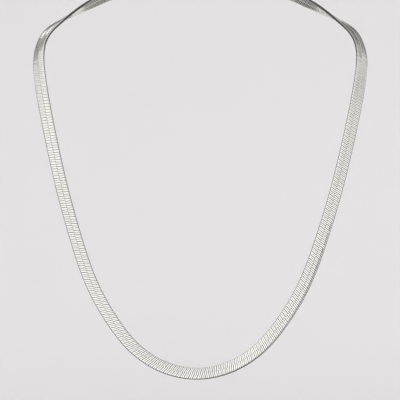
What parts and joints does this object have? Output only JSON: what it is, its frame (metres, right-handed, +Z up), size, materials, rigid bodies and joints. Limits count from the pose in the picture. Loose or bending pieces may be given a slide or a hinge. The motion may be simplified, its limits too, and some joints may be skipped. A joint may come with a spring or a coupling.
{
  "type": "herringbone chain necklace",
  "caption": "Flat woven herringbone chain in its worn U shape, with end caps, jump rings and a plain lobster clasp at the nape.",
  "frame": {"origin": "middle of the clasp's inner face, where the necklace lies on the nape", "axes": "+Z up as worn, -Y towards the front of the chest, +X to the right as seen from the front"},
  "size_m": [0.142, 0.1191, 0.1721],
  "materials": {
    "woven_silver": "polished silver, cut by fine slanting lines between the links",
    "fitting_silver": "polished silver, fine hairline scratches"
  },
  "bodies": {
    "root": {"herringbone_band": "woven_silver", "end_cap_left": "fitting_silver", "end_cap_right": "fitting_silver", "jump_ring_left": "fitting_silver", "jump_ring_right": "fitting_silver", "lobster_clasp": "fitting_silver"}
  },
  "joints": []
}
